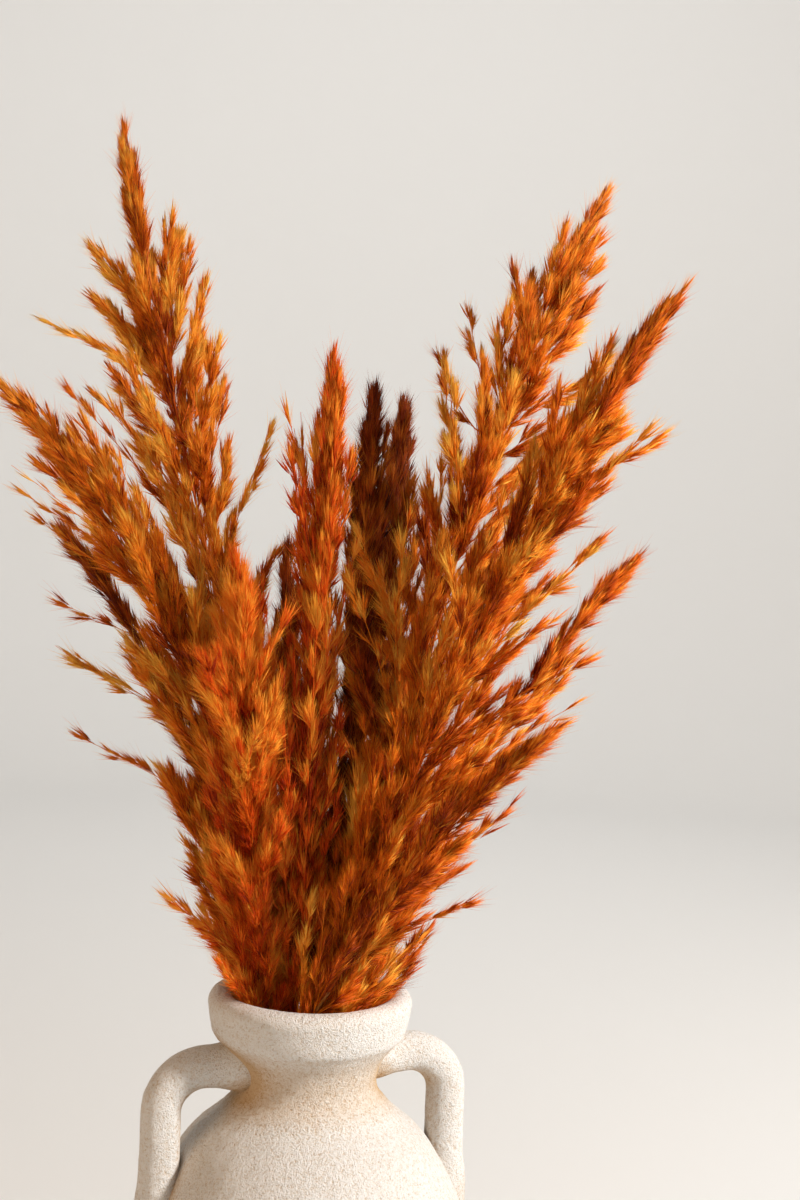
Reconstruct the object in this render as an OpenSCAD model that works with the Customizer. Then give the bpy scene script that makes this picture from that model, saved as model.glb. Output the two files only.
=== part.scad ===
// Dried pampas grass plumes standing in a two-handled stoneware vase.
// Millimetres, +Z up. The origin is the centre of the foot, on the table.
// The two handles lie along X. Every stem stands in the vase on its own.

/* [Vase] */
// Height from the foot to the top of the lip
vase_h = 230; // [225:1:240]
// Outer radius of the thick rounded lip
rim_r = 46; // [44:1:48]
// Radius of the open mouth, inside the lip
mouth_r = 34.5; // [33:0.5:36]
// Outer radius at the narrowest part of the neck
neck_r = 31.5; // [31:0.5:33]
// Outer radius at the widest part of the belly
belly_r = 77.5; // [75:0.5:80]
// Outer radius of the flat foot
foot_r = 44; // [40:1:50]
// Thickness of the thrown wall
wall = 7; // [6:0.5:7.5]
// Thickness of the vase's floor
floor_t = 9; // [7:1:12]

/* [Handles] */
// Thickness of the pulled clay of a handle
handle_d = 19; // [16:1:20]
// Distance from the vase's axis to the middle of a handle's upright leg
handle_reach = 67; // [64:1:69]
// Radius of a handle's elbow, at the middle of the clay
handle_elbow = 19; // [16:1:22]
// Depth of the middle of a handle's upper arm below the top of the lip
handle_drop = 32; // [30:1:34]

/* [Bouquet] */
// Turn of the whole bouquet against the handles, in degrees
bouquet_turn = -18; // [-180:1:180]
// Angle by which each stem enters the mouth beside its lean, in degrees
spiral = 50; // [46:1:56]
// Diameter of a stem at its cut end
stem_d = 3.4; // [2.6:0.1:3.6]
// Diameter of a stem where its plume begins
stem_top_d = 2.4; // [1.8:0.1:2.6]
// Clear height of each plume's first branch over the mouth
plume_rise = 8; // [6:1:12]
// Place of a plume's widest point, as a share of its length
plume_peak = 0.47; // [0.44:0.01:0.55]

/* [Hidden] */

stand_gap = 0.2;     // clearance of a stem's cut end over the vase's floor
to_floor = vase_h - floor_t - stand_gap;

// One row per stem: name, the way it leans seen from above (0 is right, 90 is back),
// its lean at the mouth, the extra lean at its tip, the radius at which it crosses the
// mouth, its length above the mouth, its depth below it, and its plume's half width.
STEMS = [
    ["tall_left",       152,  17,  -3,  22,  420,  to_floor,  24],
    ["outer_left",     -160,  14,  38,  21,  303,  to_floor,  16],
    ["slender_left",    176,  21,  22,  25,  240,  to_floor,   6],
    ["front_left",     -110,  12,   0,  24,  202,  to_floor,  13],
    ["low_left",       -158,  23,   9,  28,  110,       150,   5],
    ["centre_front",    -72,   6,   0,  14,  288,  to_floor,   8],
    ["centre_back",      82,   9,   5,  16,  288,  to_floor,   7],
    ["centre_short",    144,   6,   0,  15,  203,  to_floor,   6],
    ["tall_right",       27,  12,  21,  19,  400,  to_floor,  23],
    ["outer_right",     -20,  19,  18,  22,  345,  to_floor,  20],
    ["back_right",       79,  16,   2,  24,  292,  to_floor,   9],
    ["slender_right",     4,  25,  20,  26,  242,  to_floor,   8],
    ["low_right",       -32,  33,  22,  27,  173,       120,   7],
];
NAME = 0;
HEADING = 1;
LEAN = 2;
BEND = 3;
CROSSING = 4;
ABOVE = 5;
BELOW = 6;
HALF_WIDTH = 7;

ROUND = 96;          // facets round the vase, where it is shown as a mesh
CURVE_STEPS = 5;     // points on each stretch of a smooth outline
STEM_SIDES = 8;
STEM_RINGS = 14;     // rings from the cut end of a stem to its plume
PLUME_SIDES = 10;
PLUME_RINGS = 16;    // rings from the foot of a plume to its tip
RISE_STEPS = 40;     // steps in which a stem's bend is summed
BEND_POWER = 2;      // a stem's lean grows with this power of its length
WIDTH_POWER = 1.35;  // above 1 it draws a plume's foot and tip in
RACHIS_R = 1.2;      // radius that a plume keeps at its foot and tip
foot_edge = 3;       // rounding of the foot's edge
belly_z = 0.43 * vase_h;
neck_z = vase_h - 43;
lip_r = (rim_r - mouth_r) / 2;
lip_z = vase_h - lip_r;
arm_z = vase_h - handle_drop;
arm_x = handle_reach - handle_elbow;
leg_foot_z = arm_z - 84;

clay = "linen";
straw = "peru";
plume_colours = ["chocolate", "darkorange", "sienna"];

// Smooth curve through all the points of p, as a Catmull-Rom spline.
function smooth(p) = [
    for (i = [0 : len(p) - 2], k = [0 : CURVE_STEPS - 1])
        let (
            t = k / CURVE_STEPS,
            a = p[max(i - 1, 0)],
            b = p[i],
            c = p[i + 1],
            d = p[min(i + 2, len(p) - 1)]
        )
        b + (c - a) * t / 2
          + (2 * a - 5 * b + 4 * c - d) * t * t / 2
          + (3 * b - a - 3 * c + d) * t * t * t / 2,
    p[len(p) - 1],
];

// Half circle over the lip, from the outside to the inside.
lip_arc = [for (a = [15 : 15 : 165]) [mouth_r + lip_r + lip_r * cos(a), lip_z + lip_r * sin(a)]];

// Outside of the vase from the foot up to the lip, as [radius, height].
outside = smooth([
    [foot_r, foot_edge],
    [foot_r + 7, 18],
    [belly_r - 10, belly_z - 44],
    [belly_r, belly_z],
    [belly_r - 6.5, belly_z + 33],
    [neck_r + 24, neck_z - 26],
    [neck_r + 7, neck_z - 10],
    [neck_r, neck_z],
    [neck_r + 1.5, neck_z + 11],
    [rim_r - 7, vase_h - 23.5],
    [rim_r - 2.5, vase_h - 18],
    [rim_r, lip_z],
]);

// Inside of the vase from the lip down to the floor, as [radius, height].
inside = smooth([
    [mouth_r, lip_z],
    [mouth_r - 2.5, vase_h - 18],
    [neck_r - wall + 1.5, neck_z + 12],
    [neck_r - wall, neck_z],
    [neck_r - wall + 5, neck_z - 10],
    [neck_r + 17.5, neck_z - 29],
    [belly_r - 6.5 - wall, belly_z + 31],
    [belly_r - wall, belly_z],
    [belly_r - 10 - wall, belly_z - 42],
    [foot_r - 2, floor_t + 6],
    [foot_r - 8, floor_t],
]);

// Row of STEMS that has this name.
function row(name) = STEMS[search([name], STEMS)[0]];

// Point at which a stem crosses the plane of the mouth.
function crossing(s) =
    let (a = s[HEADING] - spiral)
    [s[CROSSING] * cos(a), s[CROSSING] * sin(a), vase_h];

// Unit vector of a stem that leans by this many degrees.
function along(s, lean) =
    [sin(lean) * cos(s[HEADING]), sin(lean) * sin(s[HEADING]), cos(lean)];

// Lean of a stem at a share t of its length above the mouth.
function lean_above(s, t) = s[LEAN] + s[BEND] * pow(t, BEND_POWER);

// Points of a stem above the mouth, in n equal steps, from the crossing.
function rise(s, n, i = 0, p = undef) =
    let (q = is_undef(p) ? crossing(s) : p)
    i == n ? [q] : concat(
        [q],
        rise(s, n, i + 1, q + along(s, lean_above(s, (i + 0.5) / n)) * s[ABOVE] / n)
    );

// Points of a stem below the mouth, where its lean fades out to its cut end.
function sink(s, n, i = 0, p = undef) =
    let (q = is_undef(p) ? crossing(s) : p, lean = s[LEAN] * (1 - (i + 0.5) / n))
    i == n ? [q] : concat(
        [q],
        sink(s, n, i + 1, q - along(s, lean) * s[BELOW] / n / cos(lean))
    );

// Point at a distance d above the crossing, on the polyline of rise().
function point_at(s, path, d) =
    let (
        steps = len(path) - 1,
        u = min(d / s[ABOVE], 1) * steps,
        k = min(floor(u), steps - 1)
    )
    path[k] + (path[k + 1] - path[k]) * (u - k);

// Half width of a plume at a share t of its length: a slim foot, a full middle, a tip.
function plume_r(s, t) =
    RACHIS_R + s[HALF_WIDTH]
        * pow(max(sin(180 * pow(t, ln(0.5) / ln(plume_peak))), 0), WIDTH_POWER);

// Ring of n points with radius r round p, square to the direction d.
function ring(p, d, r, n) =
    let (
        w = d / norm(d),
        u = cross(w, [0, 1, 0]) / norm(cross(w, [0, 1, 0])),
        v = cross(w, u)
    )
    [for (k = [0 : n - 1]) p + r * (u * cos(360 * k / n) + v * sin(360 * k / n))];

// Closed tube through the points of path, with one radius and one direction per point.
module tube(path, radii, dirs, n) {
    last = len(path) - 1;
    points = [for (i = [0 : last]) each ring(path[i], dirs[i], radii[i], n)];
    sides = [
        for (i = [0 : last - 1], k = [0 : n - 1])
            let (a = i * n + k, b = i * n + (k + 1) % n)
            each [[a, a + n, b], [b, a + n, b + n]]
    ];
    foot = [for (k = [1 : n - 2]) [0, k, k + 1]];
    top = [for (k = [1 : n - 2]) [last * n, last * n + k + 1, last * n + k]];
    polyhedron(points, concat(sides, foot, top));
}

// Direction of a path at each of its points, from its neighbours.
function headings(p) = [
    for (i = [0 : len(p) - 1]) p[min(i + 1, len(p) - 1)] - p[max(i - 1, 0)]
];

// Direction of a stem where its plume begins, shared by the two solids' flat ends.
function start_dir(s) = along(s, lean_above(s, plume_rise / s[ABOVE]));

// Thrown body of the vase: foot, belly, neck, flared collar and thick lip.
module vase_body() {
    color(clay)
    rotate_extrude($fn = ROUND)
    polygon(concat(
        [[0, 0], [foot_r - foot_edge, 0]],
        outside,
        lip_arc,
        inside,
        [[0, floor_t]]
    ));
}

// Solid shape of the vase's outside, which a handle is cut flush against.
module vase_outside() {
    rotate_extrude($fn = ROUND)
    polygon(concat([[0, 0], [foot_r - foot_edge, 0]], outside, [[0, lip_z]]));
}

// Pulled handle: a level arm from the neck, an elbow, and a leg down to the shoulder.
module handle() {
    color(clay)
    difference() {
        union() {
            translate([0, 0, arm_z])
            rotate([0, 90, 0])
            cylinder(h = arm_x, d = handle_d, $fn = ROUND);
            translate([arm_x, 0, arm_z - handle_elbow])
            rotate([90, 0, 0])
            rotate_extrude(angle = 90, $fn = ROUND)
            translate([handle_elbow, 0])
            circle(d = handle_d, $fn = ROUND);
            translate([handle_reach, 0, leg_foot_z])
            cylinder(h = arm_z - handle_elbow - leg_foot_z, d = handle_d, $fn = ROUND);
        }
        vase_outside();
    }
}

module handle_left() {
    rotate([0, 0, 180]) handle();
}

module handle_right() {
    handle();
}

// Bare stem from its cut end in the vase up to the first branch of its plume.
module stem(name) {
    s = row(name);
    below = sink(s, STEM_RINGS - 1);
    top = point_at(s, rise(s, RISE_STEPS), plume_rise);
    path = concat([for (i = [STEM_RINGS - 1 : -1 : 0]) below[i]], [top]);
    radii = [
        for (i = [0 : STEM_RINGS])
            (stem_d + (stem_top_d - stem_d) * i / STEM_RINGS) / 2
    ];
    h = headings(path);
    dirs = [for (i = [0 : STEM_RINGS]) i == STEM_RINGS ? start_dir(s) : i == 0 ? [0, 0, 1] : h[i]];
    color(straw)
    rotate([0, 0, bouquet_turn])
    tube(path, radii, dirs, STEM_SIDES);
}

// Outer shape of one plume, a closed spindle round the upper part of its stem.
module plume(name) {
    s = row(name);
    curve = rise(s, RISE_STEPS);
    path = [
        for (i = [0 : PLUME_RINGS])
            point_at(s, curve, plume_rise + (s[ABOVE] - plume_rise) * i / PLUME_RINGS)
    ];
    radii = [for (i = [0 : PLUME_RINGS]) plume_r(s, i / PLUME_RINGS)];
    h = headings(path);
    dirs = [for (i = [0 : PLUME_RINGS]) i == 0 ? start_dir(s) : h[i]];
    color(plume_colours[s[ABOVE] % len(plume_colours)])
    rotate([0, 0, bouquet_turn])
    tube(path, radii, dirs, PLUME_SIDES);
}

vase_body();
handle_left();
handle_right();
stem("tall_left");  // stem_tall_left
plume("tall_left");  // plume_tall_left
stem("outer_left");  // stem_outer_left
plume("outer_left");  // plume_outer_left
stem("slender_left");  // stem_slender_left
plume("slender_left");  // plume_slender_left
stem("front_left");  // stem_front_left
plume("front_left");  // plume_front_left
stem("low_left");  // stem_low_left
plume("low_left");  // plume_low_left
stem("centre_front");  // stem_centre_front
plume("centre_front");  // plume_centre_front
stem("centre_back");  // stem_centre_back
plume("centre_back");  // plume_centre_back
stem("centre_short");  // stem_centre_short
plume("centre_short");  // plume_centre_short
stem("tall_right");  // stem_tall_right
plume("tall_right");  // plume_tall_right
stem("outer_right");  // stem_outer_right
plume("outer_right");  // plume_outer_right
stem("back_right");  // stem_back_right
plume("back_right");  // plume_back_right
stem("slender_right");  // stem_slender_right
plume("slender_right");  // plume_slender_right
stem("low_right");  // stem_low_right
plume("low_right");  // plume_low_right
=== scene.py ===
"""Dried orange pampas grass in a two-handled stoneware vase: the looks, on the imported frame.

Everything is in metres, +Z up, with the origin at the centre of the vase's foot. Each plume is a
panicle: a rachis along the middle of its CAD spindle, branches that leave it and rise beside it,
twigs beside each branch, and spikelets of pointed scales with silky hairs on short stalks along
every twig.
"""
import math

import bpy
import numpy as np
from mathutils import Matrix, Vector


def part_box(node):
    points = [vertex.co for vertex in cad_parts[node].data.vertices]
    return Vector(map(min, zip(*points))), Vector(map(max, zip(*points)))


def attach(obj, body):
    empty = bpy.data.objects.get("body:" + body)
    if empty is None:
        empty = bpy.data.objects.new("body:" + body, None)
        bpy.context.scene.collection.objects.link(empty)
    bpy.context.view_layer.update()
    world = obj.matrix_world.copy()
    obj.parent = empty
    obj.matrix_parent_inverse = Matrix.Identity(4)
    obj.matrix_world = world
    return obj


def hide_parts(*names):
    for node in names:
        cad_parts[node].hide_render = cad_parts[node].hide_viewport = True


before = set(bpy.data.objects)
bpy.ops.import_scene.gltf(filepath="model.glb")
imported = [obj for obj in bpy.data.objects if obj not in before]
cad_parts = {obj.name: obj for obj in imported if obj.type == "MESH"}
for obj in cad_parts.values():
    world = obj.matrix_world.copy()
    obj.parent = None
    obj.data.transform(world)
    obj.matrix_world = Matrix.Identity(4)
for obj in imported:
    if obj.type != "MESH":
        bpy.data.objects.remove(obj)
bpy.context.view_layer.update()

MM = 0.001
UP = np.array([0.0, 0.0, 1.0])
GOLDEN_ANGLE = math.radians(137.508)

# ---------------------------------------------------------------- sizes shared with the CAD
_, vase_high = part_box("vase_body")
VASE_H = vase_high.z
BELLY_R = vase_high.x
BELLY_Z = 0.43 * VASE_H
RIM_R, MOUTH_R, NECK_R, FOOT_R, WALL, FLOOR = (x * MM for x in (46, 34.5, 31.5, 44, 7, 9))
NECK_Z = VASE_H - 43 * MM
LIP_R = (RIM_R - MOUTH_R) / 2
LIP_Z = VASE_H - LIP_R
HANDLE_R = 9.5 * MM
HANDLE_REACH = 67 * MM                 # from the axis to the middle of the upright leg
ELBOW_R = 19 * MM
ARM_START = 24 * MM                    # from the axis, inside the clay of the neck
ARM_Z = VASE_H - 32 * MM
LEG_DROP = 80 * MM                     # from the arm to the leg's end in the shoulder
ARM_JOINT = (34 * MM, ARM_Z)           # distance from the axis, and height
LEG_JOINT = (64 * MM, 146 * MM)
JOINT_REACH = 17 * MM                  # how far the slip is thin round a joint
STEM_SIDES = 8                         # corners in a ring of a CAD stem
SPINDLE_SIDES = 10                     # and of a CAD plume
BOUQUET_TURN = math.radians(-18)       # from X to the bouquet's own right

# ---------------------------------------------------------------- camera
VIEW_ELEVATION = math.radians(15.35)   # how far the mouth is seen from above
VIEW_DISTANCE = 0.770                  # from the middle of the mouth
AIM_RIGHT = math.radians(2.62)         # the mouth lies left of the picture's middle
AIM_DOWN = math.radians(2.17)          # the lens looks almost level
ROLL = math.radians(2.0)
LENS = 50


def make_camera():
    """Stands at VIEW_DISTANCE from the mouth, square to the bouquet's own left and right."""
    back = Vector((0, -math.cos(VIEW_ELEVATION), math.sin(VIEW_ELEVATION)))
    turn = Matrix.Rotation(BOUQUET_TURN, 3, "Z")
    data = bpy.data.cameras.new("camera")
    data.lens = LENS
    camera = bpy.data.objects.new("camera", data)
    camera.location = turn @ (Vector((0, 0, VASE_H)) + VIEW_DISTANCE * back)
    aim = (Matrix.Rotation(BOUQUET_TURN - AIM_RIGHT, 3, "Z")
           @ Matrix.Rotation(math.pi / 2 - AIM_DOWN, 3, "X")
           @ Matrix.Rotation(ROLL, 3, "Z"))
    camera.rotation_euler = aim.to_euler()
    bpy.context.scene.collection.objects.link(camera)
    bpy.context.scene.camera = camera


# ---------------------------------------------------------------- meshes from arrays
def new_mesh(name, points, faces):
    """A smooth mesh object of these points, with faces as rows of corners."""
    points = np.asarray(points, np.float32).reshape(-1, 3)
    faces = np.asarray(faces, np.int32)
    corners = faces.shape[1]
    mesh = bpy.data.meshes.new(name)
    mesh.vertices.add(len(points))
    mesh.vertices.foreach_set("co", points.ravel())
    mesh.loops.add(faces.size)
    mesh.loops.foreach_set("vertex_index", faces.ravel())
    mesh.polygons.add(len(faces))
    mesh.polygons.foreach_set("loop_start", np.arange(0, faces.size, corners, dtype=np.int32))
    mesh.polygons.foreach_set("use_smooth", np.ones(len(faces), bool))
    mesh.update(calc_edges=True)
    mesh.validate()
    piece = bpy.data.objects.new(name, mesh)
    bpy.context.scene.collection.objects.link(piece)
    return piece


def unit(v):
    return v / np.maximum(np.linalg.norm(v, axis=-1, keepdims=True), 1e-12)


def across(direction):
    """Two unit vectors square to each direction and to each other."""
    level = np.where(np.abs(direction[..., 1:2]) < 0.9, [0.0, 1.0, 0.0], [1.0, 0.0, 0.0])
    u = unit(np.cross(direction, level))
    return u, np.cross(direction, u)


def ring_faces(rings, sides):
    """Quads between rings of points, with sides points to a ring."""
    i, j = np.meshgrid(np.arange(rings - 1), np.arange(sides), indexing="ij")
    k = (j + 1) % sides
    return np.stack([i * sides + j, i * sides + k,
                     (i + 1) * sides + k, (i + 1) * sides + j], -1).reshape(-1, 4)


def in_triangles(quads):
    return np.concatenate([quads[:, [0, 1, 2]], quads[:, [0, 2, 3]]])


def closed_faces(rings, sides):
    """Triangles of a row of rings, closed by a fan at each end round one point. The points are
    the rings in order, then the first end's and the last end's middle."""
    k = np.arange(sides)
    j = (k + 1) % sides
    first, last = np.full(sides, rings * sides), (rings - 1) * sides
    return np.concatenate([in_triangles(ring_faces(rings, sides)),
                           np.stack([first, j, k], -1),
                           np.stack([first + 1, last + k, last + j], -1)])


def tube_points(paths, radii, sides):
    """Rings of sides points round one path or many: path + radius * (u cos a + v sin a)."""
    u, v = across(unit(np.gradient(paths, axis=-2)))
    a = np.linspace(0, 2 * np.pi, sides, endpoint=False)[:, None]
    return paths[..., None, :] + np.reshape(radii, (-1, 1, 1)) * (
        u[..., None, :] * np.cos(a) + v[..., None, :] * np.sin(a))


def hand_over(piece, material, node):
    """Gives a finished piece its material, hangs it under the root body and hides the CAD node it
    stands for.
    """
    piece.data.materials.append(material)
    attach(piece, "root")
    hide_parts(node)


def set_attribute(piece, name, data):
    layer = piece.data.attributes.new(name, "FLOAT_COLOR", "POINT")
    layer.data.foreach_set("color", data.ravel())


def value_noise(points, cell, seed):
    """Smooth random field from -1 to 1: lattice values, blended by 3t^2 - 2t^3 on each axis."""
    q = np.asarray(points) / cell
    base = np.floor(q).astype(np.int64)
    t = q - base
    t = t * t * (3 - 2 * t)
    total = np.zeros(q.shape[:-1])
    for corner in range(8):
        step = np.array([corner & 1, corner >> 1 & 1, corner >> 2 & 1])
        c = base + step
        h = (c[..., 0] * 73856093) ^ (c[..., 1] * 19349663) ^ (c[..., 2] * 83492791) ^ seed
        h = (h ^ (h >> 13)) * 1274126177 & 0x7FFFFFFF
        value = ((h ^ (h >> 16)) & 0xFFFF) / 32767.5 - 1
        total += value * np.prod(np.where(step == 1, t, 1 - t), axis=-1)
    return total


# ---------------------------------------------------------------- materials
# The third channel of straw, how far out in the plume a point sits, is painted light and shade:
# paler outside, darker deep inside.
TONE, ALONG, OUTER_PAINTED_LIGHT = 0.66, 0.12, 0.36       # what each channel of straw adds to the shade


def new_material(name):
    material = bpy.data.materials.new(name)
    material.use_nodes = True
    tree = material.node_tree
    return material, tree, tree.nodes["Principled BSDF"]


def add(tree, kind, **settings):
    node = tree.nodes.new(kind)
    for key, value in settings.items():
        setattr(node, key, value)
    return node


def ramp(tree, source, stops):
    """Colour ramp over source, with stops as (place, (r, g, b))."""
    node = add(tree, "ShaderNodeValToRGB")
    line = node.color_ramp.elements
    while len(line) < len(stops):
        line.new(0.5)
    for element, (place, colour) in zip(line, stops):
        element.position = place
        element.color = (*colour, 1)
    tree.links.new(source, node.inputs["Fac"])
    return node.outputs["Color"]


def math_node(tree, operation, a, b, clamp=False):
    node = add(tree, "ShaderNodeMath", operation=operation, use_clamp=clamp)
    for socket, value in zip(node.inputs, (a, b)):
        if isinstance(value, (int, float)):
            socket.default_value = value
        else:
            tree.links.new(value, socket)
    return node.outputs[0]


def noise(tree, scale, detail):
    """Noise on Object coordinates, scale in cells to the metre."""
    place = add(tree, "ShaderNodeTexCoord")
    node = add(tree, "ShaderNodeTexNoise")
    node.inputs["Scale"].default_value = scale
    node.inputs["Detail"].default_value = detail
    node.inputs["Roughness"].default_value = 0.6
    tree.links.new(place.outputs["Object"], node.inputs["Vector"])
    return node.outputs["Fac"]


def mixed(tree, blend, share, a, b):
    """Colour b blended over colour a, by a share that is a number or a socket."""
    node = add(tree, "ShaderNodeMix", data_type="RGBA", blend_type=blend)
    if isinstance(share, (int, float)):
        node.inputs["Factor"].default_value = share
    else:
        tree.links.new(share, node.inputs["Factor"])
    for socket, colour in (("A", a), ("B", b)):
        if isinstance(colour, tuple):
            node.inputs[socket].default_value = (*colour, 1)
        else:
            tree.links.new(colour, node.inputs[socket])
    return node.outputs["Result"]


def attribute(tree, name):
    """The three channels of a point attribute."""
    data = add(tree, "ShaderNodeAttribute", attribute_name=name)
    parts = add(tree, "ShaderNodeSeparateColor")
    tree.links.new(data.outputs["Color"], parts.inputs["Color"])
    return parts.outputs["Red"], parts.outputs["Green"], parts.outputs["Blue"]


def bumped(tree, shader, height, distance, strength=1.0):
    """Bump on a shader's normal, where a height of 1 stands for distance metres."""
    bump = add(tree, "ShaderNodeBump")
    bump.inputs["Strength"].default_value = strength
    bump.inputs["Distance"].default_value = distance
    tree.links.new(height, bump.inputs["Height"])
    tree.links.new(bump.outputs["Normal"], shader.inputs["Normal"])


def stoneware():
    """Chalky slip brushed over sandy clay: grit bumps at two sizes, with painted shade in the
    colour. The slip is darker and warmer in the hollows between the grains. The same warm tint is
    stronger where a point attribute marks faces that look down, the neck, the handles' inner sides
    and their joints, where clay also shows through thin slip."""
    material, tree, shader = new_material("stoneware")
    lumps = noise(tree, 620, detail=3)
    grain = noise(tree, 1500, detail=2)
    cloud = noise(tree, 45, detail=3)
    thin_slip_and_shade, _, _ = attribute(tree, "thin_slip_and_shade")
    height = math_node(tree, "ADD", math_node(tree, "MULTIPLY", lumps, 0.55),
                       math_node(tree, "MULTIPLY", grain, 0.60))
    grit_height_for_shade = math_node(tree, "ADD", height, math_node(tree, "MULTIPLY", cloud, 0.12))
    # Painted shade: the lower a point lies among the grains, the darker and warmer its slip colour;
    # the cloud adds tone at random.
    slip_and_hollow_shade = ramp(tree, grit_height_for_shade, [(0.44, (0.54, 0.42, 0.31)), (0.54, (0.69, 0.62, 0.54)),
                              (0.64, (0.76, 0.735, 0.70)), (0.80, (0.80, 0.785, 0.765))])
    # More painted shade: a warm darker tint where the point attribute is high and the point lies
    # low among the grains.
    thin = math_node(tree, "SUBTRACT", math_node(tree, "MULTIPLY", thin_slip_and_shade, 2.1), grit_height_for_shade, clamp=True)
    slip_with_painted_shade = mixed(tree, "MULTIPLY", thin, slip_and_hollow_shade, (0.76, 0.55, 0.34))
    tree.links.new(slip_with_painted_shade, shader.inputs["Base Color"])
    shader.inputs["Roughness"].default_value = 0.95
    shader.inputs["Specular IOR Level"].default_value = 0.2
    bumped(tree, shader, height, 1.7 * MM)
    return material


def dyed_straw(name, stops, glow):
    """Dry scales and hairs. The attribute straw holds the tone of a spikelet, the place along a
    scale and how far out in the plume it sits. A ramp turns their sum into the colour: the dye's
    own, with painted light on the outer spikelets and painted shade on those deep in the plume.
    glow is the share of the light that comes through from behind."""
    material, tree, shader = new_material(name)
    tone, along, outer_painted_light = attribute(tree, "straw")
    shade = math_node(tree, "ADD", math_node(tree, "MULTIPLY", tone, TONE),
                      math_node(tree, "MULTIPLY", outer_painted_light, OUTER_PAINTED_LIGHT))
    shade = math_node(tree, "ADD", shade, math_node(tree, "MULTIPLY", along, ALONG), clamp=True)
    colour = ramp(tree, shade, stops)
    tree.links.new(colour, shader.inputs["Base Color"])
    shader.inputs["Roughness"].default_value = 0.5
    shader.inputs["Specular IOR Level"].default_value = 0.2
    thin = add(tree, "ShaderNodeBsdfTranslucent")
    tree.links.new(colour, thin.inputs["Color"])
    mix = add(tree, "ShaderNodeMixShader")
    mix.inputs["Fac"].default_value = glow
    tree.links.new(shader.outputs["BSDF"], mix.inputs[1])
    tree.links.new(thin.outputs["BSDF"], mix.inputs[2])
    tree.links.new(mix.outputs["Shader"], tree.nodes["Material Output"].inputs["Surface"])
    return material


def reed():
    """Dyed reed skin with long streaks up the stem."""
    material, tree, shader = new_material("reed")
    place = add(tree, "ShaderNodeTexCoord")
    stretch = add(tree, "ShaderNodeMapping")
    stretch.inputs["Scale"].default_value = (900, 900, 40)
    tree.links.new(place.outputs["Object"], stretch.inputs["Vector"])
    streaks = add(tree, "ShaderNodeTexNoise")
    streaks.inputs["Scale"].default_value = 1.0
    streaks.inputs["Detail"].default_value = 3
    tree.links.new(stretch.outputs["Vector"], streaks.inputs["Vector"])
    colour = ramp(tree, streaks.outputs["Fac"], [(0.3, (0.22, 0.06, 0.012)),
                                                 (0.5, (0.48, 0.17, 0.025)),
                                                 (0.7, (0.66, 0.33, 0.08))])
    tree.links.new(colour, shader.inputs["Base Color"])
    shader.inputs["Roughness"].default_value = 0.5
    bumped(tree, shader, streaks.outputs["Fac"], 0.1 * MM, 0.4)
    return material


STONEWARE = stoneware()
REED = reed()
SCALE_GLOW, SILK_GLOW = 0.25, 0.5
GOLDEN = [(0.15, (0.24, 0.020, 0.002)), (0.40, (0.74, 0.135, 0.005)),
          (0.62, (0.98, 0.31, 0.012)), (0.90, (1.0, 0.58, 0.08))]
RED = [(0.15, (0.22, 0.014, 0.002)), (0.42, (0.68, 0.065, 0.003)),
       (0.66, (0.96, 0.18, 0.008)), (0.92, (1.0, 0.45, 0.045))]
# The same orange dye made darker throughout: painted shade for the plumes that are given it.
PAINTED_SHADE_STOPS = [(0.15, (0.05, 0.008, 0.002)), (0.42, (0.20, 0.024, 0.003)),
        (0.68, (0.47, 0.075, 0.005)), (0.92, (0.75, 0.25, 0.02))]
STOPS = {"golden": GOLDEN, "red": RED, "painted_shade": PAINTED_SHADE_STOPS}
DYES = {dye: dyed_straw(dye + "_scales", stops, SCALE_GLOW) for dye, stops in STOPS.items()}
SILKS = {dye: dyed_straw(dye + "_silk", stops, SILK_GLOW) for dye, stops in STOPS.items()}


# ---------------------------------------------------------------- reading the CAD stems
def rings_of(node, sides):
    """Middle and radius of each ring of a CAD tube, from its lower end up.

    The tube's points, each taken once, are laid against a curve fitted through all of them,
    sorted by their place along it, and taken sides at a time."""
    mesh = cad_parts[node].data
    points = np.zeros(len(mesh.vertices) * 3, np.float32)
    mesh.vertices.foreach_get("co", points)
    points = points.reshape(-1, 3).astype(float)
    cells = np.round(points / (0.02 * MM)).astype(np.int64)
    points = points[np.unique(cells, axis=0, return_index=True)[1]]
    z = points[:, 2]
    line_z = np.linspace(z.min(), z.max(), 600)
    line = np.stack([np.polyval(np.polyfit(z, points[:, k], 4), line_z) for k in (0, 1)]
                    + [line_z], -1)
    nearest = np.argmin(((points[:, None] - line[None]) ** 2).sum(-1), axis=1)
    heading = unit(np.gradient(line, axis=0))[nearest]
    place = line_z[nearest] + ((points - line[nearest]) * heading).sum(-1)
    rings = points[np.argsort(place)].reshape(-1, sides, 3)
    middles = rings.mean(1)
    return middles, np.linalg.norm(rings - middles[:, None], axis=-1).mean(1)


def smooth_line(points, steps):
    """Catmull-Rom spline through the points, with steps points on each stretch."""
    p = np.asarray(points, float)
    last = len(p) - 1
    i = np.repeat(np.arange(last), steps)
    t = np.tile(np.arange(steps) / steps, last)[:, None]
    a, b, c, d = p[np.maximum(i - 1, 0)], p[i], p[i + 1], p[np.minimum(i + 2, last)]
    line = (b + (c - a) * t / 2 + (2 * a - 5 * b + 4 * c - d) * t ** 2 / 2
            + (3 * b - a - 3 * c + d) * t ** 3 / 2)
    return np.concatenate([line, p[-1:]])


def distances(line):
    """How far along a line each of its points is."""
    return np.concatenate([[0], np.cumsum(np.linalg.norm(np.diff(line, axis=0), axis=1))])


def even(line, step):
    """A line's points spaced evenly, about a step apart, and their distances along it."""
    s = distances(line)
    t = np.linspace(0, s[-1], max(int(s[-1] / step), 2) + 1)
    return np.stack([np.interp(t, s, line[:, k]) for k in range(line.shape[1])], -1), t


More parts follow.
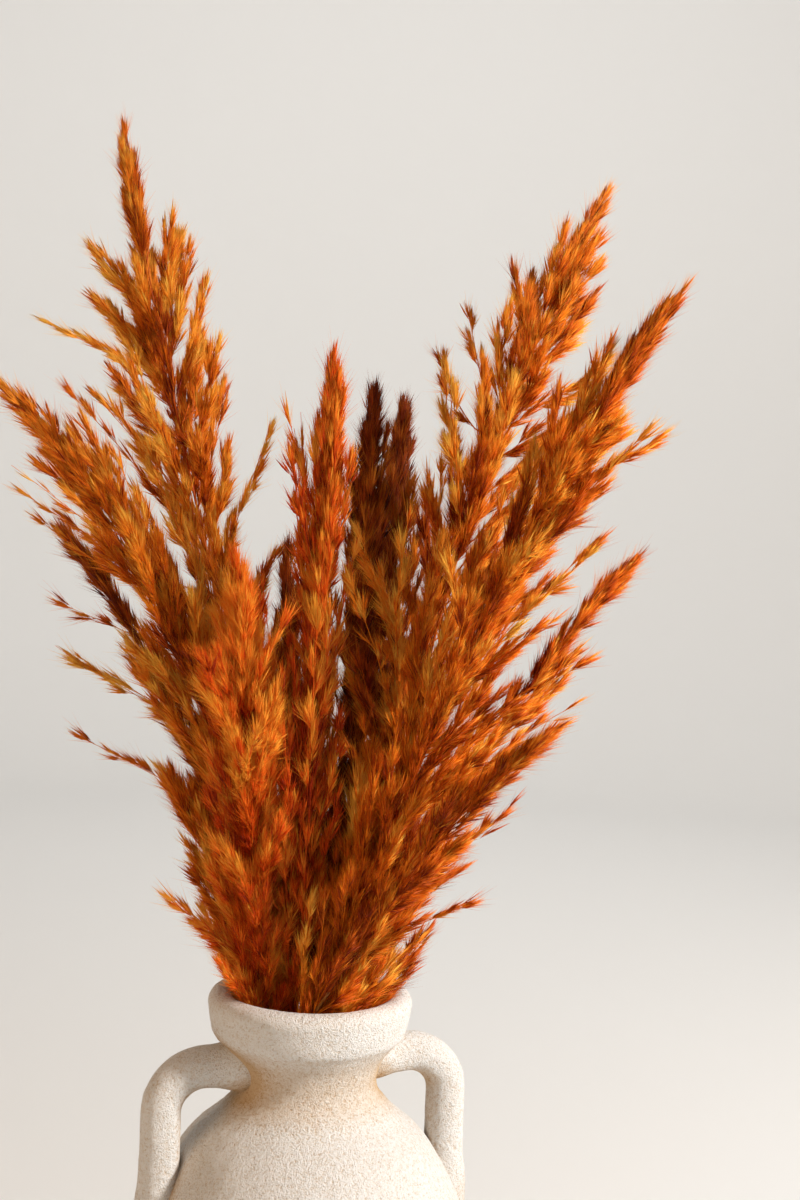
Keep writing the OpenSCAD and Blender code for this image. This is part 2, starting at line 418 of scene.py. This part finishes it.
# ---------------------------------------------------------------- vase
def vase_lines():
    """Half sections as (radius, height): outside from the foot to the lip, lip, and inside from
    the lip to the floor. The lip is a half circle between the two."""
    outside = [[FOOT_R, 3 * MM], [FOOT_R + 7 * MM, 18 * MM], [BELLY_R - 10 * MM, BELLY_Z - 44 * MM],
               [BELLY_R, BELLY_Z], [BELLY_R - 6.5 * MM, BELLY_Z + 33 * MM],
               [NECK_R + 24 * MM, NECK_Z - 26 * MM], [NECK_R + 7 * MM, NECK_Z - 10 * MM],
               [NECK_R, NECK_Z], [NECK_R + 1.5 * MM, NECK_Z + 11 * MM],
               [RIM_R - 7 * MM, VASE_H - 23.5 * MM], [RIM_R - 2.5 * MM, VASE_H - 18 * MM],
               [RIM_R, LIP_Z]]
    a = np.radians(np.arange(7.5, 180, 7.5))
    lip = np.stack([MOUTH_R + LIP_R + LIP_R * np.cos(a), LIP_Z + LIP_R * np.sin(a)], -1)
    inside = [[MOUTH_R, LIP_Z], [MOUTH_R - 2.5 * MM, VASE_H - 18 * MM],
              [NECK_R - WALL + 1.5 * MM, NECK_Z + 12 * MM], [NECK_R - WALL, NECK_Z],
              [NECK_R - WALL + 5 * MM, NECK_Z - 10 * MM], [NECK_R + 17.5 * MM, NECK_Z - 29 * MM],
              [BELLY_R - 6.5 * MM - WALL, BELLY_Z + 31 * MM], [BELLY_R - WALL, BELLY_Z],
              [BELLY_R - 10 * MM - WALL, BELLY_Z - 42 * MM], [FOOT_R - 2 * MM, FLOOR + 6 * MM],
              [FOOT_R - 8 * MM, FLOOR]]
    return (even(smooth_line(outside, 20), 1.5 * MM)[0], lip,
            even(smooth_line(inside, 12), 4.5 * MM)[0])


OUTSIDE, LIP, INSIDE = vase_lines()
THROAT = np.concatenate([LIP[len(LIP) // 2:], INSIDE[INSIDE[:, 1] > NECK_Z]])[::-1]


def roughened(points, normals, keep=1.0):
    """Clay pushed along its normals, in mm: slow marks of the wheel, lumps of slip and coarse
    sand. keep is the share that is left at each point."""
    slow = value_noise(points, 36 * MM, 5) * 0.35
    lumps = value_noise(points, 9 * MM, 11) * 0.14
    sand = np.maximum(value_noise(points, 3.6 * MM, 17), 0) * 0.22
    return points + normals * ((slow + lumps + sand - 0.2) * MM * keep)[..., None]


def clay_piece(name, node, rows, ends, thin_slip_and_shade):
    """Mesh of rings of points closed by a fan at each end, with the point attribute that places the
    stoneware's painted shade and thin slip.
    """
    rings, sides = rows.shape[:2]
    flat = np.concatenate([rows.reshape(-1, 3), ends])
    piece = new_mesh(name, flat, closed_faces(rings, sides))
    data = np.zeros((len(flat), 4), np.float32)
    data[:rings * sides, 0] = thin_slip_and_shade.ravel()
    set_attribute(piece, "thin_slip_and_shade", data)
    hand_over(piece, STONEWARE, node)


def near(points, place, reach):
    """1 at a place, falling off as a bell with the distance over reach."""
    return np.exp(-(np.linalg.norm(points - np.asarray(place), axis=-1) / reach) ** 2)


def vase_body():
    """Surface of revolution of the section, (r cos a, r sin a, z), then roughened. Painted shade, a
    warm darker tint, is laid on faces that look down, such as under the collar, in the neck and
    round the joints of the handles, together with clay showing through the thinner slip there."""
    under = np.stack([np.linspace(2 * MM, FOOT_R - 3 * MM, 5), np.zeros(5)], -1)
    floor = np.stack([np.linspace(FOOT_R - 12 * MM, 2 * MM, 4), np.full(4, FLOOR)], -1)
    line = np.concatenate([under, OUTSIDE, LIP, INSIDE, floor])
    a = np.linspace(0, 2 * np.pi, 300, endpoint=False)
    way = np.stack([np.cos(a), np.sin(a), 0 * a], -1)
    points = line[:, None, :1] * way + line[:, None, 1:] * UP
    slope = unit(np.gradient(line, axis=0))
    normals = slope[:, None, 1:] * way - slope[:, None, :1] * UP
    off_foot = np.clip((line[:, 1] - 0.5 * MM) / (4 * MM), 0, 1)[:, None]
    points = roughened(points, normals, off_foot)
    # Painted shade: a warm darker tint on faces that look down, in a band round the neck and round
    # the joints of the handles.
    thin_slip_and_shade = 0.5 * np.clip(-normals[..., 2], 0, 1)
    thin_slip_and_shade = thin_slip_and_shade + 0.5 * np.exp(-((points[..., 2] - NECK_Z) / (16 * MM)) ** 2)
    for side in (-1, 1):
        for r, z in (ARM_JOINT, LEG_JOINT):
            thin_slip_and_shade = thin_slip_and_shade + 0.8 * near(points, (side * r, 0, z), JOINT_REACH)
    clay_piece("stoneware_body", "vase_body", points, [[0, 0, 0], [0, 0, FLOOR]], thin_slip_and_shade)


def handle(side):
    """Pulled handle: a level arm, an elbow and an upright leg, swept with a round section that
    spreads into the clay at both ends with exp(-(distance to the joint / reach)^2). Painted shade,
    a warm darker tint, is laid on the side that faces the vase, on the underside and at the joints,
    together with clay showing through the thinner slip there."""
    arm = np.stack([np.linspace(ARM_START, HANDLE_REACH - ELBOW_R, 26), np.full(26, ARM_Z)], -1)
    a = np.radians(np.linspace(90, 0, 34)[1:])
    elbow = np.stack([HANDLE_REACH - ELBOW_R + ELBOW_R * np.cos(a),
                      ARM_Z - ELBOW_R + ELBOW_R * np.sin(a)], -1)
    leg_z = np.linspace(ARM_Z - ELBOW_R, ARM_Z - LEG_DROP, 60)[1:]
    leg = np.stack([np.full(len(leg_z), HANDLE_REACH), leg_z], -1)
    line = np.concatenate([arm, elbow, leg])
    s = distances(line)
    path = np.stack([side * line[:, 0], 0 * line[:, 0], line[:, 1]], -1)
    neck_joint = np.exp(-(np.maximum(s - 6 * MM, 0) / (9 * MM)) ** 2)
    leg_joint = np.exp(-(np.maximum(s[-1] - 16 * MM - s, 0) / (12 * MM)) ** 2)
    radius = HANDLE_R * (0.97 + 0.28 * neck_joint + 0.22 * leg_joint)
    rows = tube_points(path, radius, 72)
    normals = unit(rows - path[:, None])
    rows = roughened(rows, normals)
    # Painted shade: a warm darker tint on the side that faces the vase, underneath and at the
    # joints.
    inner = np.clip(-side * normals[..., 0] * 0.7 - normals[..., 2] * 0.7, 0, 1)
    thin_slip_and_shade = 0.75 * inner + 0.4 * (neck_joint + leg_joint)[:, None]
    name = "left" if side < 0 else "right"
    ends = np.stack([path[0], path[-1]])
    clay_piece("pulled_handle_" + name, "handle_" + name, rows, ends, thin_slip_and_shade)


# ---------------------------------------------------------------- plumes
class Growth:
    """How one plume has grown. branches and spikelets are counts; reach and twig are lengths in
    mm of a branch at the middle of the plume and of its longest twigs. width multiplies the
    half width of the CAD spindle, and foot is the plume's share of it at the mouth. silk is the
    count of hairs on each spikelet. stray is the count of branches that stand clear of the
    rest, stray_reach how much longer they are, and side the bearing they take: 0 is left,
    90 front, 180 right and 270 back. pale lifts the dye."""

    def __init__(self, dye, branches, spikelets, reach=60, twig=18, width=1.1, foot=0.45,
                 silk=7, stray=0, side=0, stray_reach=1.3, pale=0.0):
        self.dye, self.branches, self.spikelets = dye, branches, spikelets
        self.reach, self.twig, self.width, self.foot = reach, twig, width, foot
        self.silk, self.pale = silk, pale
        self.stray, self.side, self.stray_reach = stray, side, stray_reach


# Plumes given the darker copy of the orange dye carry painted shade in their colour.
PLUMES = {
    "tall_left": Growth("golden", 112, 12500, width=1.6, stray=11, side=5, stray_reach=1.35),
    "outer_left": Growth("golden", 60, 6600, twig=17, width=1.15, stray=12, side=190,
                         stray_reach=1.9),
    "slender_left": Growth("painted_shade", 22, 1900, reach=38, twig=14, pale=0.2),
    "front_left": Growth("red", 80, 8600, reach=44, twig=17, width=1.4, foot=0.75, silk=9,
                         stray=4, side=60, pale=0.27),
    "low_left": Growth("golden", 20, 1800, reach=30, twig=15, width=1.8, foot=0.7, stray=4,
                       side=180, pale=0.1),
    "centre_front": Growth("red", 72, 6400, reach=105, twig=13, width=2.0, foot=0.5, silk=5,
                           stray=9, side=0, stray_reach=1.1, pale=0.08),
    "centre_back": Growth("painted_shade", 50, 4600, reach=80, twig=16, width=1.7, stray=2, side=180),
    "centre_short": Growth("painted_shade", 36, 3000, reach=45, width=1.9, stray=3, side=0),
    "tall_right": Growth("golden", 116, 12500, width=1.55, silk=8, stray=6, side=350,
                         stray_reach=1.35, pale=-0.05),
    "outer_right": Growth("golden", 88, 9200, width=1.25, stray=11, side=175, stray_reach=1.5,
                          pale=-0.08),
    "back_right": Growth("painted_shade", 56, 6000, width=1.9, stray=3, side=20, pale=0.08),
    "slender_right": Growth("golden", 26, 2200, reach=42, twig=13, stray=3, side=180, pale=-0.1),
    "low_right": Growth("golden", 24, 2000, reach=38, twig=13, width=1.3, stray=3, side=200,
                        pale=-0.25),
}
BRANCH_POINTS = 9
TWIG_POINTS = 4
TWIGS = 9                       # on each branch
TIP_BRANCHES = 5                # branches that end at the very tip of the plume
SCALES = 2                      # pointed scales in a spikelet
SCALE_RING = 0.35               # share of a scale's length at which it is widest
IN_THE_NECK = 3                 # rings of the stem, below the plume, that also bear branches
TIP_ROOM = 9 * MM               # left free at the top for the last spikelets
BOLD, BOLDER = 0.25, 1.3        # share of branches that stand further off, and how much
LEAST_OFF = 1.5 * MM            # how far any branch stands off the spine, before its own share
SAG = 7 * MM                    # how far a stray branch's end hangs outwards
SPIKELET_LENGTH = (7.5, 13.5)   # these three in mm
SCALE_WIDTH = (0.5, 1.2)
STALK_LENGTH = (0.4, 3.2)
STALK_WIDTH = 0.3 * MM
HAIR_WIDTH = 0.17 * MM
CLEAR_OF_CLAY = 0.8 * MM
COLOUR_MAP = "OFBake"           # the name of the map on which each piece's colours are laid out
MAP_ROOM = 0.9                  # share of the map over which the shapes are spread
MAP_EDGE = 0.01                 # kept free at the map's top and bottom


def pressed_in(points):
    """Points below the lip's crest kept in the mouth: their distance from the axis is at most
    the inside radius at their height. Points that hang outside the lip stay, so the hair or
    twig that joins such a point to one inside may still graze the clay."""
    z = points[..., 2]
    r = np.hypot(points[..., 0], points[..., 1])
    room = np.interp(z, THROAT[:, 1], THROAT[:, 0]) - CLEAR_OF_CLAY
    caught = (z < VASE_H) & (r > room) & (r < RIM_R + 1 * MM)
    share = np.where(caught, room / np.maximum(r, 1e-9), 1.0)
    return points * np.stack([share, share, np.ones_like(share)], -1)


def envelope(t, foot):
    """Half width of a plume at share t, from 0 to 1: it swells from foot to 1 over its first
    third and narrows with the power 2.6 over its upper half."""
    rise = np.clip(t / 0.32, 0, 1)
    fall = np.clip((t - 0.50) / 0.50, 0, 1)
    return (foot + (1 - foot) * rise * rise * (3 - 2 * rise)) * (1 - 0.93 * fall ** 2.6)


def spine_of(name):
    """Middle line of a plume and of the stretch of stem under it, and the CAD half width."""
    stem, _ = rings_of("stem_" + name, STEM_SIDES)
    middles, radii = rings_of("plume_" + name, SPINDLE_SIDES)
    line, s = even(smooth_line(np.concatenate([stem[-1 - IN_THE_NECK:-1], middles]), 6), 4 * MM)
    kept = s < s[-1] - TIP_ROOM
    return line[kept], s[kept], radii.max()


def grow_branches(spine, s, half, growth, rng):
    """Branches beside the spine, as an array of branch x point x 3, and for each how far out
    it goes and how stray it is.

    A branch leaves the spine at share a and ends at share b. At u from 0 to 1 along it, it
    stands off the spine by out * half * envelope(b) * u ** power, at its own bearing. A stray
    one is longer, stands further off and hangs a little outwards with u squared."""
    n = growth.branches
    k = np.arange(n)
    a = 0.86 * ((k + rng.uniform(0, 1, n)) / n) ** 1.05
    reach = growth.reach * MM / s[-1] * np.clip(1.5 - a, 0.3, 1.1) * rng.uniform(0.55, 1.3, n)
    out = rng.uniform(0.1, 1.0, n) ** 0.6 * np.where(rng.uniform(0, 1, n) < BOLD, BOLDER, 1.0)
    power = rng.uniform(0.6, 1.3, n)
    bearing = k * GOLDEN_ANGLE + rng.normal(0, 0.3, n)
    stray = np.zeros(n)
    pick = rng.choice(np.arange(int(n * 0.25), int(n * 0.86)), growth.stray, replace=False)
    stray[pick] = rng.uniform(0.5, 1.0, growth.stray)
    reach[pick] *= growth.stray_reach
    bearing[pick] = np.radians(growth.side + rng.uniform(-65, 65, growth.stray))
    out[pick] = rng.uniform(0.9, 1.2, growth.stray)
    b = np.minimum(a + reach, 1 - 0.10 * rng.uniform(0, 1, n) ** 1.5)
    b[-TIP_BRANCHES:] = np.linspace(0.95, 1.0, TIP_BRANCHES)
    out[-TIP_BRANCHES:] = 0.5
    u = np.linspace(0, 1, BRANCH_POINTS)
    share = a[:, None] + (b - a)[:, None] * u
    side, front = across(unit(np.gradient(spine, axis=0)))
    grid = s / s[-1]

    def carried(values):
        return np.stack([np.interp(share, grid, values[:, i]) for i in range(3)], -1)

    off = np.maximum(half * growth.width * envelope(b, growth.foot), LEAST_OFF) * out
    off = (off * (1 + 0.8 * stray))[:, None] * u ** power[:, None]
    turn = bearing[:, None] + rng.normal(0, 0.25, n)[:, None] * u
    outward = carried(side) * np.cos(turn)[..., None] + carried(front) * np.sin(turn)[..., None]
    points = carried(spine) + outward * (off + SAG * stray[:, None] * u ** 2)[..., None]
    return pressed_in(points), out, stray


def on_paths(paths, which, place):
    """Point and heading at a share of the way along chosen paths."""
    last = paths.shape[1] - 1
    at = place * last
    low = np.minimum(at.astype(int), last - 1)
    mix = (at - low)[:, None]
    heading = unit(np.gradient(paths, axis=1))
    return (paths[which, low] * (1 - mix) + paths[which, low + 1] * mix,
            unit(heading[which, low] * (1 - mix) + heading[which, low + 1] * mix))


def grow_twigs(branches, stray, growth, rng):
    """Twigs beside the branches, as an array of twig x point x 3, and the branch of each.

    A twig leaves its branch at 12 to 28 degrees and bends back beside it with t squared. The
    last one on each branch carries straight on. Twigs shorten towards the branch's tip."""
    n = len(branches)
    which = np.repeat(np.arange(n), TWIGS)
    order = np.tile(np.arange(TWIGS), n)
    place = 0.06 + 0.88 * (order + rng.uniform(0, 1, n * TWIGS)) / TWIGS
    root, along = on_paths(branches, which, place)
    long = growth.twig * MM * (1.1 - 0.75 * place) * rng.uniform(0.55, 1.15, n * TWIGS)
    long = long * (1 - 0.55 * stray[which])
    splay = rng.uniform(12, 28, n * TWIGS) * np.where(order == TWIGS - 1, 0.2, 1.0)
    way = cone(along, np.radians(splay), rng)
    t = np.linspace(0, 1, TWIG_POINTS)[None, :, None]
    bend = (along - way)[:, None] * t ** 2 / 2
    return pressed_in(root[:, None] + long[:, None, None] * (way[:, None] * t + bend)), which


def blades(base, heading, length, width):
    """Pointed scales: a base point, a ring of 3 points about a third of the way up, and a tip."""
    u, v = across(heading)
    a = np.radians([90, 210, 330])[None, :, None]
    belly = base + heading * (length * SCALE_RING)[:, None]
    ring = belly[:, None] + (width / 2)[:, None, None] * (
        u[:, None] * np.cos(a) + v[:, None] * np.sin(a))
    points = np.concatenate([base[:, None], ring, (base + heading * length[:, None])[:, None]], 1)
    one = np.array([[0, 2, 1], [0, 3, 2], [0, 1, 3], [4, 1, 2], [4, 2, 3], [4, 3, 1]])
    along = np.array([0, SCALE_RING, SCALE_RING, SCALE_RING, 1])
    side = np.array([0.5, 0, 0.5, 1, 0.5])
    return points, one, along, side


def slips(base, heading, length, width):
    """Silk hairs and stalks: a narrow triangle from a base of this width to a point."""
    u, _ = across(heading)
    half = u * (width / 2)
    points = np.stack([base - half, base + half, base + heading * length[:, None]], 1)
    return points, np.array([[0, 1, 2]]), np.array([0.0, 0.0, 1.0]), np.array([0.0, 1.0, 0.5])


def tubes(paths, radii, sides):
    """Open tubes along n paths at once."""
    n, rings = paths.shape[:2]
    points = tube_points(paths, radii, sides).reshape(n, -1, 3)
    along = np.repeat(np.linspace(0, 1, rings), sides)
    side = np.tile(np.arange(sides) / sides, rings)
    return points, in_triangles(ring_faces(rings, sides)), along, side


def cone(heading, angle, rng):
    """Each heading turned away by its angle, towards a random side."""
    u, v = across(heading)
    a = rng.uniform(0, 2 * np.pi, len(heading))[:, None]
    away = u * np.cos(a) + v * np.sin(a)
    return unit(heading * np.cos(angle)[:, None] + away * np.sin(angle)[:, None])


class Sheaf:
    """Many small shapes gathered into one mesh, with the straw attribute of each point and its
    place on the colour map. There v is the shade that dyed_straw works out, so shapes may lie
    over one another, and u only keeps every triangle from collapsing to a line."""

    def __init__(self):
        self.points, self.faces, self.straw, self.map, self.total = [], [], [], [], 0

    def add(self, shape, tone, outer_painted_light):
        """Adds what blades, slips or tubes return: the points of n copies, one copy's faces,
        and each point's share of the way along its copy and across it."""
        points, one, along, side = shape
        n, per = points.shape[:2]
        data = np.ones((n, per, 4), np.float32)
        data[..., 0] = np.reshape(tone, (-1, 1))
        data[..., 1] = along
        data[..., 2] = np.reshape(outer_painted_light, (-1, 1))
        start = np.arange(n)[:, None] * GOLDEN_ANGLE / (2 * np.pi) % 1 * MAP_ROOM
        shade = data[..., :3] @ np.array([TONE, ALONG, OUTER_PAINTED_LIGHT], np.float32)
        shade = np.clip(shade, MAP_EDGE, 1 - MAP_EDGE)
        self.points.append(pressed_in(points).reshape(-1, 3))
        self.faces.append((self.total + np.arange(n)[:, None, None] * per + one).reshape(-1, 3))
        self.straw.append(data.reshape(-1, 4))
        self.map.append(np.stack([start + side * (1 - MAP_ROOM), shade], -1).reshape(-1, 2))
        self.total += n * per

    def piece(self, name, material, node, slot):
        made = new_mesh(name, np.concatenate(self.points), np.concatenate(self.faces))
        set_attribute(made, "straw", np.concatenate(self.straw))
        corners = np.zeros(len(made.data.loops), np.int32)
        made.data.loops.foreach_get("vertex_index", corners)
        spots = np.concatenate(self.map)[corners].astype(np.float32)
        made.data.uv_layers.new(name=COLOUR_MAP).data.foreach_set("uv", spots.ravel())
        hand_over(made, material, node)


def plume(name, growth, seed):
    """One panicle in two pieces: the branches with their scales, and the silk hairs.

    A spikelet's tone is half its twig's own and half its own, and darker towards the plume's foot:
    painted shade where the plumes crowd into the mouth. Spikelets near a twig's tip sit closer to
    it and are shorter in the silk."""
    rng = np.random.default_rng(seed)
    spine, s, half = spine_of(name)
    scales, silk = Sheaf(), Sheaf()
    scales.add(tubes(spine[None], np.linspace(1.1, 0.2, len(spine)) * MM, 6), 0.3, 0.1)
    branches, out, stray = grow_branches(spine, s, half, growth, rng)
    scales.add(tubes(branches, np.linspace(0.4, 0.12, BRANCH_POINTS) * MM, 3), 0.35, out * 0.6)
    twigs, parent = grow_twigs(branches, stray, growth, rng)
    scales.add(tubes(twigs, np.linspace(0.22, 0.1, TWIG_POINTS) * MM, 3), 0.35, out[parent] * 0.6)

    n, count = len(twigs), growth.spikelets
    run = np.linalg.norm(np.diff(twigs, axis=1), axis=2).sum(1) + 3 * MM
    run = run * (1 - 0.2 * stray[parent])
    which = rng.choice(n, count, p=run / run.sum())
    place = rng.uniform(0.0, 1.0, count)
    root, along = on_paths(twigs, which, place)
    stalk = rng.uniform(*STALK_LENGTH, count) * (1 - 0.7 * place) * MM
    stalk_way = cone(along, np.radians(rng.uniform(8, 38, count) * (1 - 0.7 * place)), rng)
    base = root + stalk_way * stalk[:, None]
    way = unit(stalk_way * 0.5 + along * 0.8)
    size = rng.uniform(*SPIKELET_LENGTH, count) * MM
    shared = rng.normal(0.5, 0.40, growth.branches)[parent] + rng.normal(0, 0.25, n)
    up = (base[:, 2] - VASE_H) / (spine[-1, 2] - VASE_H)
    # Painted shade: the tone falls towards the plume's foot, where the plumes crowd into the mouth.
    tone = (0.5 * shared[which] + 0.5 * rng.normal(0.5, 0.42, count) + growth.pale
            + 0.35 * np.clip(up - 0.55, -0.55, 0.05))
    hair_tone, tone = np.clip(0.85 * tone + 0.25, 0, 1), np.clip(0.95 * tone - 0.05, 0, 1)
    # Painted light and shade: spikelets further out on their branch and twig get a paler colour,
    # and those near the middle of the plume a darker one.
    outer_painted_light = np.clip(out[parent[which]] * (0.35 + 0.65 * place), 0, 1)
    scales.add(slips(root, stalk_way, stalk, STALK_WIDTH), tone * 0.7, outer_painted_light * 0.7)
    for k in range(SCALES):
        long = size * rng.uniform(0.7, 1.0, count)
        wide = rng.uniform(*SCALE_WIDTH, count) * MM
        start = base + way * (size * 0.15 * k)[:, None]
        spread = np.radians(rng.uniform(2, 14, count) * (1 - 0.5 * place))
        scales.add(blades(start, cone(way, spread, rng), long, wide), tone, outer_painted_light)
    for k in range(growth.silk):
        spread = np.radians(rng.uniform(3, 28, count))
        long = size * rng.uniform(0.7, 1.5, count) * (1 - 0.35 * place)
        start = base + way * (size * rng.uniform(0, 0.25, count))[:, None]
        silk.add(slips(start, cone(way, spread, rng), long, HAIR_WIDTH), hair_tone, outer_painted_light)
    node, slot = "plume_" + name, "plume_" + growth.dye
    scales.piece(node + "_spikelets", DYES[growth.dye], node, slot)
    silk.piece(node + "_silk", SILKS[growth.dye], node, slot)


CULM_SIDES = 14
KNOT_STEP = 62 * MM             # between the swollen nodes of a reed
KNOT_LENGTH = 1.6 * MM


def culm(name):
    """Reed stem on its CAD tube, with its ends closed and a swelling at every knot."""
    middles, widths = rings_of("stem_" + name, STEM_SIDES)
    path, s = even(smooth_line(middles, 6), 3.2 * MM)
    radius = np.interp(s, np.linspace(0, s[-1], len(widths)), widths)
    knots = np.exp(-((s % KNOT_STEP - KNOT_STEP / 2) / KNOT_LENGTH) ** 2)
    rows = tube_points(path, radius * (0.97 + 0.12 * knots), CULM_SIDES)
    points = np.concatenate([rows.reshape(-1, 3), path[:1], path[-1:]])
    piece = new_mesh("culm_" + name, points, closed_faces(len(path), CULM_SIDES))
    hand_over(piece, REED, "stem_" + name)


# ---------------------------------------------------------------- room and light
def backdrop():
    """Pale floor that curves up into a wall all round: radius and height follow a quarter arc."""
    a = np.radians(np.linspace(-90, 0, 24))
    bend, sides = 0.9, 96
    line = np.concatenate([[[0.02, 0], [0.6, 0], [1.4, 0]],
                           np.stack([2.0 + bend * np.cos(a), bend + bend * np.sin(a)], -1),
                           [[2.9, 3.2]]])
    angles = np.linspace(0, 2 * np.pi, sides, endpoint=False)
    way = np.stack([np.cos(angles), np.sin(angles), 0 * angles], -1)
    points = (line[:, None, :1] * way + line[:, None, 1:] * UP).reshape(-1, 3)
    wall = new_mesh("backdrop", points, ring_faces(len(line), sides))
    hub = new_mesh("backdrop_hub", points[:sides], np.arange(sides)[None, :])
    material, _, shader = new_material("pale_wall")
    shader.inputs["Base Color"].default_value = (0.78, 0.78, 0.77, 1)
    shader.inputs["Roughness"].default_value = 0.9
    for part in (wall, hub):
        part.data.materials.append(material)


def soft_light(name, place, aim, size, power, colour):
    """A round lamp of this size in metres and power in watts, turned towards aim."""
    data = bpy.data.lights.new(name, "AREA")
    data.shape, data.size, data.energy, data.color = "DISK", size, power, colour
    lamp = bpy.data.objects.new(name, data)
    lamp.location = place
    lamp.rotation_euler = (Vector(aim) - Vector(place)).to_track_quat("-Z", "Y").to_euler()
    bpy.context.scene.collection.objects.link(lamp)


def lights():
    """A key from the front right, a weak warm fill from the left, and a wash on the wall."""
    turn = Matrix.Rotation(BOUQUET_TURN, 3, "Z")
    middle = (0, 0, 0.38)
    soft_light("key", turn @ Vector((1.42, -0.60, 1.10)), middle, 0.22, 44, (1, 0.96, 0.92))
    soft_light("fill", turn @ Vector((-1.3, -0.9, 0.9)), middle, 1.0, 7.5, (1, 0.60, 0.28))
    soft_light("wash", turn @ Vector((0.2, 1.0, 2.0)), turn @ Vector((0, 2.6, 0.8)), 1.2, 20,
               (1, 1, 1))
    world = bpy.data.worlds.new("room")
    world.use_nodes = True
    world.node_tree.nodes["Background"].inputs["Color"].default_value = (1.0, 0.90, 0.76, 1)
    world.node_tree.nodes["Background"].inputs["Strength"].default_value = 0.08
    bpy.context.scene.world = world
    bpy.context.scene.view_settings.view_transform = "Standard"


# ---------------------------------------------------------------- build
make_camera()
vase_body()
handle(-1)
handle(1)
for seed, (plume_name, plume_growth) in enumerate(PLUMES.items(), start=100):
    culm(plume_name)
    plume(plume_name, plume_growth, seed)
backdrop()
lights()
